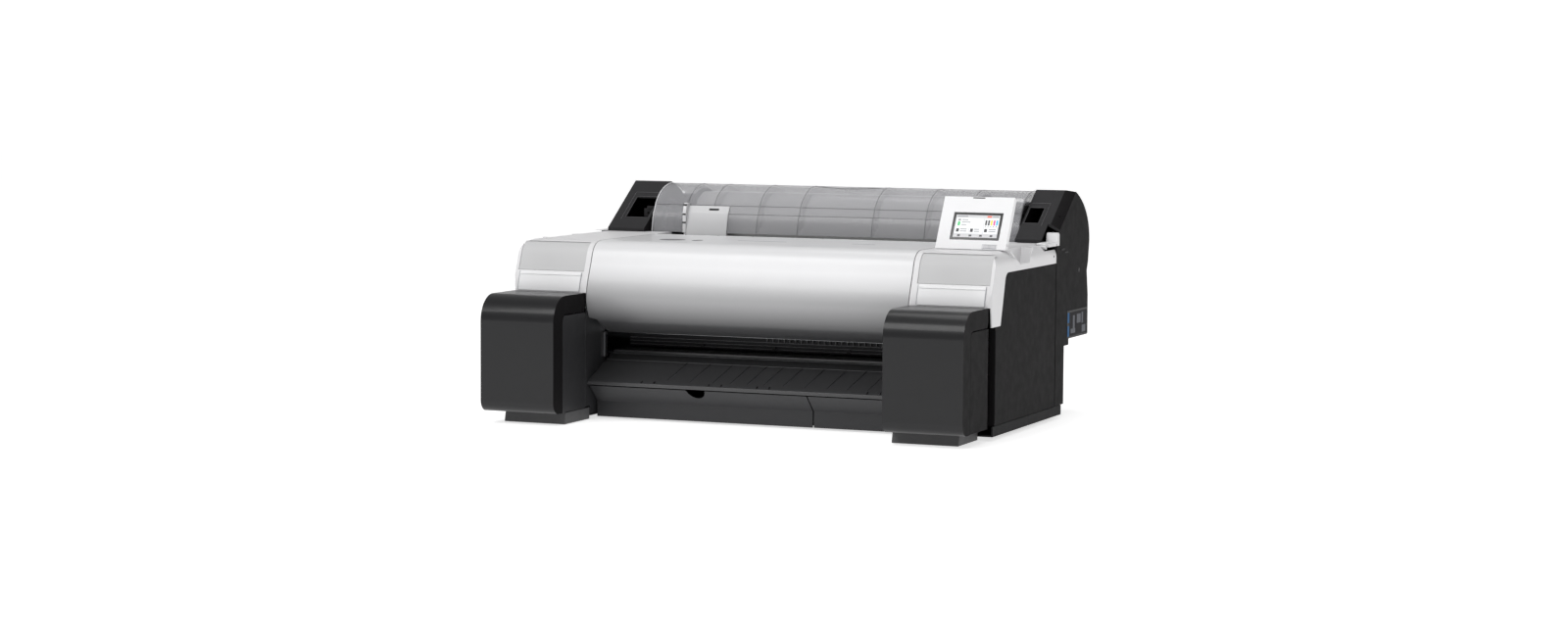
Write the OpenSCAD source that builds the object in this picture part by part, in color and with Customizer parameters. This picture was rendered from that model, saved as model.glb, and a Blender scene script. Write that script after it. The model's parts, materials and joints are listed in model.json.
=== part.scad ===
// Large format roll plotter: chassis, covers, ink bays, print mechanism, roll bay and control panel.
// Millimetres. +X to the user's right, the front faces -Y, the feet stand on Z = 0.
// Modules draw with Y counted from the front of the ink covers.
// place() centres the depth on the origin.

/* [Overall] */
// Width over the two sides
body_w = 982; // [976:1:990]
// Depth from the ink covers to the back of the roll housings
body_d = 757; // [757:1:760]
// Height to the top of the roll housings
body_h = 445; // [445:1:447]
// Thickness of the moulded skins
skin = 3; // [2.5:0.5:3]

/* [Ink boxes] */
// Width of each ink box
ink_w = 155; // [153:1:157]
// Depth of each ink cover
ink_d = 138; // [137:1:138]
// Height of the top of the ink covers
ink_top = 247; // [246:1:247]
// Height of the bottom of the ink covers
ink_floor = 23; // [22:1:24]
// Radius of the upper front edge of an ink cover
ink_round = 50; // [40:1:55]
// Radius of the lower front edge of an ink cover
ink_toe = 22; // [15:1:25]

/* [Covers] */
// Height of the white roof
roof_z = 346; // [346:1:347]
// Where the white roof ends towards the back
roof_back = 455; // [450:1:456]
// Gap between neighbouring covers
gap = 1.5; // [1:0.5:2]

/* [Control panel] */
// Width of the control panel
panel_w = 139; // [136:1:142]
// Length of the control panel up its slope
panel_len = 112; // [108:1:114]
// Thickness of the control panel
panel_t = 12; // [11:1:13]
// Lean of the control panel back from upright
panel_lean = 29.8; // [28:0.2:32]

/* [Roll] */
// Width of the paper roll
paper_w = 610; // [420:10:610]
// Radius of the paper roll
paper_r = 66; // [40:1:68]

/* [Gears] */
// Module of the roll drive gears
roll_module = 2.5; // [2.5:0.1:2.6]
// Module of the feed drive gears
feed_module = 2; // [2:0.1:2]
// Backlash taken off each tooth
backlash = 0.3; // [0.2:0.05:0.5]

/* [Hidden] */
$fn = 64;
half_w = body_w / 2;
ink_out = half_w - 3;
ink_in = ink_out - ink_w;
cover_half = ink_in - gap;
shell_in = ink_in - gap / 2;
side_face_y = 169;
side_base_z = 6.6;
seam_y = 537;
shell_back = seam_y + 0.7;
wing_z = 307;
run_fit = 0.05;
pin_r = 2.5;
ink_pivot = [124, 235];
top_pivot = [448, 336];
roll_pivot = [704, 416];
panel_foot = [250, roof_z];
panel_x = 342;
panel_pivot = [262.5, roof_z + 10];
lever_pivot = [486, 341];
// Inner faces of the left and right roll housings
left_wall = 385;
right_wall = 412;
roll_axis = [650, 360];
feed_axis = [345, 112];
pulley_z = 262;
pulley_y = 355;
pulley_r = 11;
plate_x = 476;
slant = atan2(650 - 517, body_h - 353);

// ---- outlines and helpers ----
function arc(c, r, from, to, n = 12) =
    [for (i = [0:n]) let (a = from + (to - from) * i / n) c + r * [cos(a), sin(a)]];
function curve(a, b, c, d, n = 8) =
    [for (i = [0:n]) let (t = i / n, s = 1 - t) s*s*s*a + 3*s*s*t*b + 3*s*t*t*c + t*t*t*d];
function tail(path) = [for (i = [1:len(path) - 1]) path[i]];
function flipped(path) = [for (i = [len(path) - 1:-1:0]) path[i]];
function unit(v) = v / norm(v);
// The same path moved to its right by d
function inset(path, d) = [for (i = [0:len(path) - 1])
    let (t = unit(path[min(i + 1, len(path) - 1)] - path[max(i - 1, 0)])) path[i] + d * [t[1], -t[0]]];
function band(path, d) = concat(path, flipped(inset(path, d)));
function leaned(v, n) = panel_foot + v * [sin(panel_lean), cos(panel_lean)]
    + n * [cos(panel_lean), -sin(panel_lean)];

module place() translate([0, -body_d / 2, 0]) children();
module block(x0, x1, y0, y1, z0, z1) translate([x0, y0, z0]) cube([x1 - x0, y1 - y0, z1 - z0]);
module along_x(x0, x1) translate([x0, 0, 0]) rotate([90, 0, 90]) linear_extrude(x1 - x0) children();
module along_y(y0, y1) translate([0, y1, 0]) rotate([90, 0, 0]) linear_extrude(y1 - y0) children();
module rod(x0, x1, axis, r) along_x(x0, x1) translate(axis) circle(r);
module on_side(s) if (s > 0) children(); else mirror([1, 0, 0]) children();
module both_sides() { children(); mirror([1, 0, 0]) children(); }

// Outline of an involute spur gear, pressure angle 20 degrees
function involute(rb, r) = let (a = acos(min(1, rb / r))) tan(a) * 180 / PI - a;
function flank(z, m, r) = let (rb = z * m / 2 * cos(20), rp = z * m / 2)
    90 / z - backlash / rp * 90 / PI + involute(rb, rp) - involute(rb, max(r, rb));
module gear_outline(z, m) {
    root = z * m / 2 - 1.35 * m;
    rise = [for (i = [0:4]) root + (2.3 * m) * i / 4];
    tooth = concat([for (r = rise) r * [cos(-flank(z, m, r)), sin(-flank(z, m, r))]],
        [for (r = flipped(rise)) r * [cos(flank(z, m, r)), sin(flank(z, m, r))]]);
    polygon([for (k = [0:z - 1]) for (p = tooth) let (a = 360 * k / z)
        [p[0] * cos(a) - p[1] * sin(a), p[0] * sin(a) + p[1] * cos(a)]]);
}

// Front face of the white covers in Y and Z: lower curl, face, brow, then the flat roof
curl = curve([190, 169], [160, 178], [141, 205], [138, 237], 10);
face = curve([138, 237], [138, 262], [155, 290], [163, 316], 8);
brow = curve([163, 316], [171, 340], [186, roof_z], [210, roof_z], 8);
cover_path = concat(curl, tail(face), tail(brow), [[roof_back, roof_z]]);
shell_path = concat(face, tail(brow), [[seam_y - 10, roof_z]]);
// Back of the roll housings, from the top round to the seam above the rear panel
roll_back = concat(curve([652, body_h], [705, body_h - 15], [body_d, 395], [body_d, 342], 12),
    [[body_d - 7, 300], [body_d - 15, 281]]);
// Lower edge of the white wing on the side
wing_edge = concat([[199, 210], [222, 286]], arc([243, 287], 20, 175, 90, 6), [[seam_y, wing_z]]);
ink_path = flipped(concat([[ink_d, ink_top]], arc([ink_round, ink_top - ink_round], ink_round, 90, 180, 12),
    arc([ink_toe, ink_floor + ink_toe], ink_toe, 180, 262, 8), [[40, ink_floor]]));
// Roll cover from its lower front edge over the top to its hinge
roll_cover_path = concat([[547, 346], [551, 366], [556, 384], [559, 387], [566, 401]],
    tail(curve([566, 401], [580, 425], [612, 442], [652, 442], 8)),
    tail(curve([652, 442], [672, 438], [688, 432], [699, 426.5], 4)));
feed_teeth = [30, 18];
roll_teeth = [36, 18];
feed_reach = feed_module * (feed_teeth[0] + feed_teeth[1]) / 2 + 0.1;
roll_reach = roll_module * (roll_teeth[0] + roll_teeth[1]) / 2 + 0.1;
pinion_axis = [feed_axis[0] + feed_reach, feed_axis[1]];
roll_pinion_axis = [roll_axis[0], roll_axis[1] - roll_reach];
pinch_axis = [feed_axis[0], feed_axis[1] + 15 + 0.3 + 6];
belt_ends = [-452, 462];
fascia = [[150, 66], [184, 34], [184, 3], [187, 3], [187, 35.5], [154.5, 66]];

// ---- base ----
module base_pan() color("#2b2b2d") place() difference() {
    union() {
        block(-half_w, half_w, side_face_y - 9, 580, side_base_z, 10);
        block(-half_w, -half_w + skin, side_face_y - 9, 580, 10, 25.5);
        block(half_w - skin, half_w, side_face_y - 9, 580, 10, 25.5);
        block(-half_w + skin, half_w - skin, 577, 580, 10, 25.5);
        for (x = [-420, 420]) for (y = [230, 530])
            translate([x, y, 10]) cylinder(r = 9, h = 16);
    }
    block(-cover_half - 1, cover_half + 1, 0, 192, 0, 30);
    for (x = [-420, 420]) for (y = [230, 530])
        translate([x, y, 0]) cylinder(r = 2.5, h = 30);
}

module feet() color("#39393b") place() {
    both_sides() difference() {
        block(ink_in, ink_out - 25, 50, 158, 0, ink_floor);
        translate([ink_out - 25, 0, 0]) rotate([0, 16, 0]) translate([0, 40, -10]) cube([30, 130, 50]);
        translate([0, 50, 0]) rotate([-13, 0, 0]) translate([ink_in - 5, -30, -10]) cube([140, 30, 50]);
    }
    both_sides() translate([400, 545, 0]) cylinder(r1 = 14, r2 = 16, h = side_base_z);
}

module lower_side() color("#2e2c2e") place() {
    edge = [for (p = wing_edge) p + [0.6, -0.6]];
    along_x(half_w - skin, half_w)
        polygon(concat([[side_face_y, 26.2], [side_face_y, 209.4]], edge, [[seam_y, 26.2]]));
    block(plate_x + 3, half_w - skin, side_face_y, side_face_y + skin, 26.2, 206);
    block(plate_x + 3, half_w - skin, 526, 529, 26.2, 300);
    block(plate_x + 3, half_w - skin, 250, 253, 26.2, 300);
}
module left_side_panel() on_side(-1) lower_side();
module right_side_panel() on_side(1) lower_side();

module frame_plates() color("#8d9093") place() both_sides() difference() {
    along_x(plate_x, plate_x + 3)
        polygon([[200, 26], [seam_y - 0.5, 26], [seam_y - 0.5, 300], [500, 300], [470, 327], [440, 327],
            [400, 308], [240, 308], [200, 270]]);
    rod(plate_x - 1, plate_x + 4, feed_axis, 5 + run_fit);
}

// ---- white ends ----
module end_mass(off) difference() {
    intersection() {
        along_x(shell_in + off, half_w - off) polygon(concat(inset(shell_path, off),
            [[shell_back - off, roof_z - off], [shell_back - off, 200], [138 + off, 200]]));
        along_y(100, 560) polygon(concat([[shell_in + off, 100], [half_w - off, 100]],
            arc([half_w - 26, roof_z - 26], 26 - off, 0, 90, 10), [[shell_in + off, roof_z - off]]));
        linear_extrude(400) polygon(concat([[shell_in + off, 138 + off], [half_w - 14, 138 + off]],
            arc([half_w - 14, 152], 14 - off, -90, 0, 8), [[half_w - off, 560], [shell_in + off, 560]]));
    }
    if (off == 0) along_x(ink_in - 10, half_w + 1)
        polygon(concat([[100, 100], [100, 246.5], [146, 246.5], [150, 210]], wing_edge,
            [[seam_y + 5, wing_z], [seam_y + 5, 100]]));
}
module hand_scoop() intersection() {
    along_x(half_w - 28, half_w + 1)
        polygon([[264, roof_z + 1], [313, 318], [368, 318], [395, roof_z + 1]]);
    along_y(250, 400)
        polygon([[half_w - 26, roof_z + 1], [half_w - 20, 318], [half_w + 1, 318],
            [half_w + 1, roof_z + 1]]);
}
module hand_scoop_wall() intersection() {
    along_x(half_w - 31, half_w - skin)
        polygon([[260, roof_z - 1], [309, 315], [372, 315], [399, roof_z - 1]]);
    along_y(250, 400)
        polygon([[half_w - 29, roof_z - 1], [half_w - 23, 315], [half_w - 1, 315],
            [half_w - 1, roof_z - 1]]);
}
module inset_window(x0, x1, z0, z1) block(x0, x1, 120, 200, z0, z1);
module end_shell(s) color("#f2f2f3") place() on_side(s) difference() {
    union() {
        difference() {
            end_mass(0);
            difference() {
                end_mass(skin);
                block(ink_in - 5, half_w - skin, 100, 300, 200, 247 + skin);
            }
            block(ink_in - 5, half_w - skin, 100, 560, 200, 246.5);
            block(ink_in - 5, half_w - skin, 160, 560, 200, 300);
        }
        hand_scoop_wall();
    }
    block(shell_in - 1, shell_in + skin + 1, 438, 472, 300, 323);
    hand_scoop();
    inset_window(343, 485, 287, 342);
    if (s > 0) {
        block(466.5, half_w - skin - 1, 470, 560, 330, roof_z + 5);
        block(466.5, half_w + 1, 490, 560, 339.5, roof_z + 5);
    }
}
module panel_ears() for (x = [350, 465]) {
    rod(x, x + 8, panel_pivot, 4);
    block(x, x + 8, panel_pivot[0] - 4, panel_pivot[0] + 4, roof_z - 1, panel_pivot[1]);
}
module left_end_shell() end_shell(-1);
module right_end_shell() color("#f2f2f3") difference() {
    union() {
        end_shell(1);
        place() {
            panel_ears();
            rod(461, 466, lever_pivot, 4);
            block(461, 466, 482, 490, lever_pivot[1], roof_z - skin);
        }
    }
    place() {
        for (x = [350, 465]) rod(x - 1, x + 9, panel_pivot, pin_r);
        rod(460, 467, lever_pivot, pin_r);
    }
}

module end_inset_panels() color("#c8c8ca") place() both_sides() intersection() {
    along_x(343.5, 484.5) polygon(band(inset(shell_path, 1), 2.5));
    block(343.5, 484.5, 100, 220, 287.5, 341.5);
}
module end_lower_panels() color("#ededee") place() both_sides() intersection() {
    along_x(347, 479) polygon(band(inset(shell_path, -1.5), 1.5));
    block(347, 479, 100, 220, 248.5, 286);
}

// ---- roll housings ----
// Outline of the housing's side, with its slanted front
function housing_path() = concat(
    [[517, roof_z + 1], [517, 353], [650, body_h], [652, body_h]],
    tail(roll_back),
    [[body_d - 6, 234], [body_d - 4, 154], [625, 154], [625, 140.6], [595, 140.6], [595, 26.2],
    [seam_y + 1, 26.2], [seam_y + 1, roof_z + 1]]);
// Bevel between the slanted front and the side, with a margin into the housing
module housing_bevel(margin) translate([half_w - 19, 517, 353]) rotate([-slant, 0, 0])
    translate([0, 0, -80]) linear_extrude(300)
        polygon([[-margin, margin], [20, 10 + margin], [20, -80], [-margin, -80]]);
module roll_housing(s) color("#3b3b3d") place() on_side(s) difference() {
    inner = s > 0 ? right_wall : left_wall;
    along_x(inner, half_w) polygon(housing_path());
    difference() {
        along_x(inner + skin, half_w - skin) polygon(concat([[520, roof_z + 4], [651, body_h - skin]],
            inset(tail(roll_back), skin), [[body_d - 9, 234], [body_d - 7, 157], [625, 157], [592, 143],
            [592, 29], [541, 29], [541, roof_z + 4]]));
        if (s < 0) block(467 - skin, half_w, 500, 800, roof_z - 2, 500);
        else housing_bevel(4);
    }
    if (s > 0) {
        block(inner + 4, 446, 546, 606, 383, 411.5);
        housing_bevel(0);
        block(466.5, half_w + 1, 500, 559, 339.5, 390);
        block(466.5, half_w - skin - 1, 500, 559, 325, 340);
    } else {
        block(inner + 5, 441, 546, 606, 374, 414);
        block(467, half_w + 1, 500, 800, roof_z + 1, 500);
    }
    rod(inner - 1, inner + 15, roll_axis, 12 + run_fit);
    if (s < 0) rod(inner - 1, inner + 15, roll_pinion_axis, 7);
}
module left_roll_housing() roll_housing(-1);
module right_roll_housing() roll_housing(1);

module rear_cover() color("#333336") place() along_x(-left_wall + 0.5, right_wall - 0.5)
    polygon(band(concat([for (p = roll_back) if (p[0] > 712) p],
        [[body_d - 6, 234], [body_d - 4, 158]]), skin));

module rear_lower_panel() color("#2b2b2d") place() difference() {
    along_x(-left_wall + 0.5, right_wall - 0.5)
        polygon([[body_d - 5, 154], [625, 154], [625, 140.6], [595, 140.6], [595, 26.2], [592, 26.2],
            [592, 143.6], [622, 143.6], [622, 157], [body_d - 5, 157]]);
    block(-330, -300, 590, 597, 60, 84);
    for (x = [170, 215]) block(x, x + 16, 590, 597, 60, 75);
}

module roll_tray() color("#2f2f31") place() {
    shell = concat(arc(roll_axis, 82, 200, 340, 18), flipped(arc(roll_axis, 84.5, 200, 340, 18)));
    along_x(-366, right_wall) polygon(shell);
    along_x(-left_wall, -366)
        polygon(concat(arc(roll_axis, 82, 200, 225, 4), flipped(arc(roll_axis, 84.5, 200, 225, 4))));
    along_x(-330, 330)
        polygon([[573, 330.5], [570, 333.5], [560, 330], [470, 236], [372, 139], [372, 135], [472, 231]]);
}

// ---- ink bays and tanks ----
module ink_bay(s) color("#343436") place() on_side(s) {
    wall = concat([[138, 24], [138, 209], [52.6, 209]], arc([52.6, 197.4], 12, 90, 180, 6), [[40.6, 24]]);
    along_x(ink_in, ink_in + skin) polygon(wall);
    along_x(ink_out - skin, ink_out) polygon(wall);
    block(ink_in + skin, ink_out - skin, 41, 138, 24, 27);
    block(ink_in + skin, ink_out - skin, 135, 138, 27, 205);
    block(350, 470, 138, side_face_y, 27, 200);
    difference() {
        for (x = [342, 471]) {
            rod(x, x + 8, ink_pivot, 5);
            along_x(x, x + 8) polygon([[119, 235], [129, 235], [138, 205], [138, 190], [132, 190]]);
        }
        rod(340, 482, ink_pivot, pin_r);
    }
}
module left_ink_bay() ink_bay(-1);
module right_ink_bay() ink_bay(1);

module ink_tank(x, width, tint) place() difference() {
    union() {
        color(tint) block(x, x + width, 46, 128, 28, 178);
        color(tint) block(x + 4, x + width - 4, 46, 118, 178, 186);
        color(tint) block(x + width / 2 - 8, x + width / 2 + 8, 50, 84, 186, 196);
    }
    block(x + 6, x + width - 6, 44, 47, 60, 150);
}
module ink_tank_matte_black() ink_tank(-482, 46, "#2a2a2c");
module ink_tank_black() ink_tank(-433.5, 46, "#1c1c1e");
module ink_tank_yellow() ink_tank(-385, 46, "#d8b817");
module ink_tank_magenta() ink_tank(340, 68, "#b01563");
module ink_tank_cyan() ink_tank(412, 68, "#1587b5");

module ink_cover(s) color("#3a3a3b") place() on_side(s) difference() {
    union() {
        along_x(ink_in, ink_out) polygon(band(ink_path, skin));
        for (x = [ink_in, ink_out - skin]) along_x(x, x + skin) polygon(concat(ink_path,
            [[ink_d, 222], [132, 211]], arc([52, 199], 12, 90, 180, 6), [[40, ink_floor + 1]]));
        for (x = [351, 460]) {
            rod(x, x + 10, ink_pivot, 5.5);
            block(x, x + 10, ink_pivot[0] - 5, ink_pivot[0] + 5, ink_pivot[1], ink_top - 1);
        }
    }
    rod(340, 482, ink_pivot, pin_r + run_fit);
}
module left_ink_cover() ink_cover(-1);
module right_ink_cover() ink_cover(1);

module hinge_pins() color("#a8abae") place() {
    both_sides() rod(341, 480, ink_pivot, pin_r);
    both_sides() rod(272, 318, top_pivot, pin_r);
    rod(350, 473, panel_pivot, pin_r);
    rod(461, 487, lever_pivot, pin_r);
    rod(-left_wall, right_wall, roll_pivot, pin_r);
}

// ---- covers ----
module top_cover() color("#f4f4f5") place() difference() {
    union() {
        along_x(-cover_half, cover_half) polygon(band(cover_path, skin));
        both_sides() along_x(cover_half - skin, cover_half) polygon(band(cover_path, 8));
        both_sides() {
            rod(280, 310, top_pivot, 5);
            block(280, 310, top_pivot[0] - 5, top_pivot[0] + 5, top_pivot[1], roof_z - 1);
        }
    }
    both_sides() along_y(130, 230) polygon([[306, 160], [306, 170], [316, 195], [336, 199], [336, 160]]);
    both_sides() rod(270, 320, top_pivot, pin_r + run_fit);
}

module cover_bridge() color("#8d9093") place() difference() {
    union() {
        block(-plate_x, plate_x, 440, 470, 310, 322);
        both_sides() for (x = [273, 311]) {
            rod(x, x + 6, top_pivot, 5);
            block(x, x + 6, top_pivot[0] - 5, top_pivot[0] + 5, 322, top_pivot[1]);
        }
    }
    both_sides() rod(270, 320, top_pivot, pin_r);
}

module roll_cover() color("#a4a3a8", 0.55) place() difference() {
    union() {
        along_x(3 - left_wall, right_wall - 3) polygon(band(roll_cover_path, 2.5));
        for (x = [3 - left_wall, -310, -250, -150, -60, 100, 212, 302, right_wall - 5])
            along_x(x, x + 2) polygon(band(roll_cover_path, 4.5));
        for (x = [-374, -4, 370]) {
            rod(x, x + 30, roll_pivot, 5.5);
            along_x(x, x + 30) polygon([[692, 428], [699, 426], [709, 417], [699, 413], [692, 425]]);
        }
    }
    rod(-left_wall, right_wall, roll_pivot, pin_r + run_fit);
}

// ---- control panel ----
module panel_slab(x0, x1, v0, v1, n0, n1) along_x(x0, x1)
    polygon([leaned(v0, n0), leaned(v1, n0), leaned(v1, n1), leaned(v0, n1)]);
module panel_housing() color("#f4f4f5") place() difference() {
    panel_slab(panel_x, panel_x + panel_w, -10, panel_len, 0, panel_t);
    block(panel_x - 1, panel_x + panel_w + 1, 200, 300, 300, roof_z + 1.2);
    panel_slab(panel_x + 25, panel_x + 122.5, 21, 79, -1, 4);
    panel_slab(panel_x + 93.8, panel_x + 119.2, 3.8, 11.2, -1, 5);
    for (x = [349, 464]) {
        rod(x, x + 10, panel_pivot, 4.6);
        block(x, x + 10, panel_pivot[0] - 4.6, panel_pivot[0] + 20, 340, panel_pivot[1]);
    }
    rod(panel_x - 1, panel_x + panel_w + 1, panel_pivot, pin_r + run_fit);
}
module touch_screen() color("#101114") place()
    panel_slab(panel_x + 25.3, panel_x + 122.2, 21.3, 78.7, 0.4, 3.8);
module power_button() color("#e4e4e6") place()
    panel_slab(panel_x + 94, panel_x + 119, 4, 11, -0.7, 2.5);

module release_lever() color("#ececee") place() difference() {
    union() {
        along_x(468, 486.5)
            polygon([[481, 346], [484, 348.5], [541, 348.5], [545, 363], [548, 366], [553, 366],
                [557, 362], [557, 340.5], [486, 340.5]]);
        along_x(486.5, half_w)
            polygon([[492, 340.5], [492, 347], [541, 348.5], [545, 363], [548, 366], [553, 366],
                [557, 362], [557, 340.5]]);
        rod(468, 486.5, lever_pivot, 5);
    }
    rod(460, half_w, lever_pivot, pin_r + run_fit);
    block(472, 483, 496, 538, 339, 346);
}

// ---- output side and drawer ----
module inner_walls() color("#2c2c2e") place() both_sides() {
    along_x(ink_in, ink_in + skin) polygon([[138.5, 26], [138.5, 204], [145, 210], [145, 246],
        [160.5, 246], [160.5, 299.5], [224, 299.5], [224, 10], [160.5, 10], [160.5, 26]]);
    block(ink_in - 6, ink_in, 210, 224, 118, 166);
}

module output_guide() color("#303032") place() {
    along_x(-ink_in, ink_in) polygon([[148, 68], [148, 74], [150, 76], [230, 110], [258, 121],
        [258, 117], [231, 106], [154, 73], [154, 68]]);
    for (x = [-320:40:320]) along_x(x - 1, x + 1)
        polygon([[154, 73], [231, 106], [258, 117], [258, 112], [231, 100], [160, 68]]);
}

module lower_front_panel() color("#343436") place() {
    along_x(126, ink_in - 3.5) polygon(fascia);
    block(126, ink_in - 3.5, 187, 192, side_base_z, 20);
}

module accessory_drawer() color("#343436") place() difference() {
    union() {
        along_x(-ink_in + 3.5, 124) polygon(fascia);
        block(-322, 116, 186, 392, 13, 50);
    }
    block(-320, 114, 189, 390, 15, 60);
    along_y(140, 200) translate([-106, 70]) circle(20);
}

// ---- print mechanism ----
module platen() color("#26262a") place() {
    difference() {
        block(-331, 331, 262.5, 328, 112, 127);
        block(-327, 327, 266, 324, 111, 124);
    }
    for (x = [-332, 118, 324]) block(x, x + 6, 280, 310, 10, 112);
}

module pinch_roller_holder() color("#3c3c40") place() difference() {
    union() {
        block(-plate_x, plate_x, 335, 365, 145, 158);
        block(-325, 325, 325, 328, 131, 158);
        block(-325, 325, 328, 335, 155, 158);
        both_sides() block(322, 325, 340, 350, 127.5, 145);
    }
    rod(-330, 330, pinch_axis, 2 + run_fit);
}

module pinch_rollers() color("#1d1d1f") place() {
    rod(-325, 325, pinch_axis, 2);
    for (i = [0:7]) rod(-295 + i * 78, -251 + i * 78, pinch_axis, 6);
}

module feed_roller() color("#4a4a4e") place() {
    rod(-484, 484, feed_axis, 5);
    rod(-320, 320, feed_axis, 15);
    along_x(-470, -462) translate(feed_axis) gear_outline(feed_teeth[0], feed_module);
}
module feed_pinion() color("#d8d4c4") place() {
    along_x(-470, -462) translate(pinion_axis) rotate(180 + 180 / feed_teeth[1])
        gear_outline(feed_teeth[1], feed_module);
    rod(-462, -450, pinion_axis, 3);
}

module carriage_rail() color("#9a9da0") place() {
    difference() {
        block(-plate_x, plate_x, 345, 400, 185, 235);
        block(-plate_x - 1, plate_x + 1, 348, 397, 188, 232);
    }
    rod(-plate_x, plate_x, [300, 205], 6);
    difference() {
        block(457, 470, 366, 374, 235, 270);
        translate([belt_ends[1], 0, pulley_z]) rotate([-90, 0, 0]) cylinder(r = 3 + run_fit, h = 500);
    }
}

module belt_loop(r) {
    for (x = belt_ends) translate([x, pulley_z]) circle(r);
    translate([belt_ends[0], pulley_z - r]) square([belt_ends[1] - belt_ends[0], 2 * r]);
}
module carriage_belt() color("#1b1b1c") place() along_y(pulley_y - 3.5, pulley_y + 3.5) difference() {
    belt_loop(pulley_r + 1.6);
    belt_loop(pulley_r + 0.1);
}
module pulley(x, shaft_end) color("#d8d4c4") place() {
    along_y(pulley_y - 5, pulley_y + 5) translate([x, pulley_z]) circle(pulley_r);
    for (y = [pulley_y - 5, pulley_y + 4]) along_y(y, y + 1) translate([x, pulley_z]) circle(pulley_r + 3);
    along_y(pulley_y + 5, shaft_end) translate([x, pulley_z]) circle(3);
}
module drive_pulley() pulley(belt_ends[0], 380);
module idler_pulley() pulley(belt_ends[1], 373);

module drive_motors() color("#5b5d60") place() {
    difference() {
        along_y(366, 405) translate([belt_ends[0], pulley_z]) circle(19.5);
        along_y(360, 382) translate([belt_ends[0], pulley_z]) circle(3 + run_fit);
    }
    difference() {
        rod(-458, -415, pinion_axis, 19);
        rod(-460, -448, pinion_axis, 3 + run_fit);
    }
    difference() {
        rod(-440, -396, roll_pinion_axis, 24);
        rod(-400, -394, roll_pinion_axis, 5 + run_fit);
    }
}

module carriage() color("#2d2e31") place() difference() {
    union() {
        along_x(345, 455)
            polygon([[262, 165], [342, 165], [342, 300], [240, 300], [225, 285], [225, 183], [262, 183]]);
        along_x(345, 455)
            polygon([[342, 239], [403, 239], [403, 200], [408, 200], [408, 244], [342, 244]]);
        block(380, 420, 349, 361, 244, 257);
    }
    rod(340, 460, [300, 205], 6 + run_fit);
    block(375, 425, pulley_y - 3.9, pulley_y + 3.9, pulley_z - pulley_r - 2, pulley_z - pulley_r + 0.3);
    block(352, 448, 232, 335, 225, 301);
}
module print_head() color("#7d7f84") place() {
    block(360, 440, 268, 320, 140, 165);
    block(368, 432, 274, 314, 129.8, 140);
}

module cutter_rail() color("#9a9da0") place() block(-plate_x, plate_x, 240, 252, 164, 176);
module cutter() color("#3c3c40") place() {
    difference() {
        block(-460, -425, 236.8, 256, 160.5, 179.5);
        block(-461, -424, 239.7, 252.3, 163.7, 176.3);
    }
    block(-449, -435, 252.6, 257, 126, 160.5);
    along_y(257, 261.2) translate([-442, 131]) circle(2);
}
module cutter_blade() color("#c9ccd0") place() along_y(259.6, 260.6) translate([-442, 131]) difference() {
    circle(10);
    circle(2 + run_fit);
}

module capping_station() color("#3c3c40") place() {
    block(348, 452, 266, 322, 10, 110);
    difference() {
        block(364, 436, 271, 317, 110, 127);
        block(368, 432, 275, 313, 118, 128);
    }
}
module maintenance_cartridge() color("#3a3b3e") place() {
    block(135, 315, 196, 420, 12, 60);
    block(170, 280, 230, 400, 60, 64);
}

// ---- roll ----
module roll_holder() color("#4a4b4f") place() {
    rod(-left_wall - 9, right_wall + 9, roll_axis, 12);
    both_sides() rod(paper_w / 2 + 0.5, paper_w / 2 + 6.5, roll_axis, 73);
    both_sides() rod(paper_w / 2 - 60, paper_w / 2 + 20, roll_axis, 25.4);
    along_x(-384, -374) translate(roll_axis) gear_outline(roll_teeth[0], roll_module);
}
module paper_roll() color("#f6f6f4") place() difference() {
    rod(-paper_w / 2, paper_w / 2, roll_axis, paper_r);
    rod(-paper_w / 2 - 1, paper_w / 2 + 1, roll_axis, 25.4);
}
module roll_pinion() color("#d8d4c4") place() {
    along_x(-384, -374) translate(roll_pinion_axis) rotate(90 + 180 / roll_teeth[1])
        gear_outline(roll_teeth[1], roll_module);
    rod(-399, -384, roll_pinion_axis, 5);
}
module width_guide() color("#ececee") place() {
    // Back of the guide, just clear of the roll cover, with a foot under the cover's lower edge
    back = [[564, 400], [557.5, 386.5], [555.3, 384.5], [550.3, 366], [546.3, 346], [546.3, 344.8],
        [552, 344.8], [552, 341]];
    along_x(-308, -304)
        polygon(concat([[544.2, 341], [544.2, 385], [548.7, 399], [551.2, 404], [565, 404]], back));
    difference() {
        along_x(-304, -214) polygon(concat([[544.4, 341], [544.8, 346], [548.8, 366], [553.6, 384.5],
            [555.8, 387], [562.2, 400]], back));
        block(-258, -236, 550, 570, 391, 395);
    }
}

// ---- electrical ----
module main_board() color("#1e5b3a") place() {
    block(130, 370, 572, 573.6, 35, 135);
    for (x = [171, 216]) block(x, x + 14, 573.6, 594, 61, 74);
    block(270, 310, 564, 572, 70, 110);
    block(145, 160, 573.6, 585, 90, 120);
}
module power_supply() color("#b4b7ba") place() difference() {
    block(-383, -195, 430, 560, 12, 95);
    block(-381.5, -196.5, 431.5, 558.5, 11, 93.5);
}
module power_inlet() color("#161617") place() difference() {
    union() {
        block(-329, -301, 566, 595, 61, 83);
        block(-334, -296, 595, 597, 57, 87);
    }
    block(-326, -304, 578, 598, 64, 80);
}

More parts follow.
